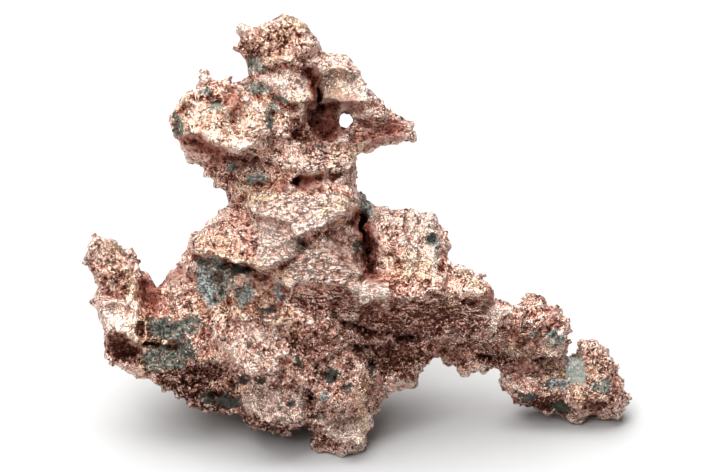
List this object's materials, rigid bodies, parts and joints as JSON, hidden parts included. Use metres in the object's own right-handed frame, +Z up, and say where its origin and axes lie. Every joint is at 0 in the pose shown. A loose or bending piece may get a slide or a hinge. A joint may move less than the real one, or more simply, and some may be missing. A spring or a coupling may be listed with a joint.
{
  "type": "native copper nugget",
  "caption": "Branching nugget of native copper standing upright: a beaked head on a leaning trunk, a short arm, a long side branch and a blunt foot, with grey-green mineral in its hollows.",
  "frame": {"origin": "centre of the bounding box, on the ground that the nugget stands on", "axes": "+X along the long side branch, +Y to the back, +Z up"},
  "size_m": [0.0918, 0.0432, 0.0646],
  "materials": {
    "native_copper": "rough, hackly natural copper, with darker recesses and grey-green mineral patches"
  },
  "bodies": {
    "root": {"copper_nugget": "native_copper"}
  },
  "joints": []
}
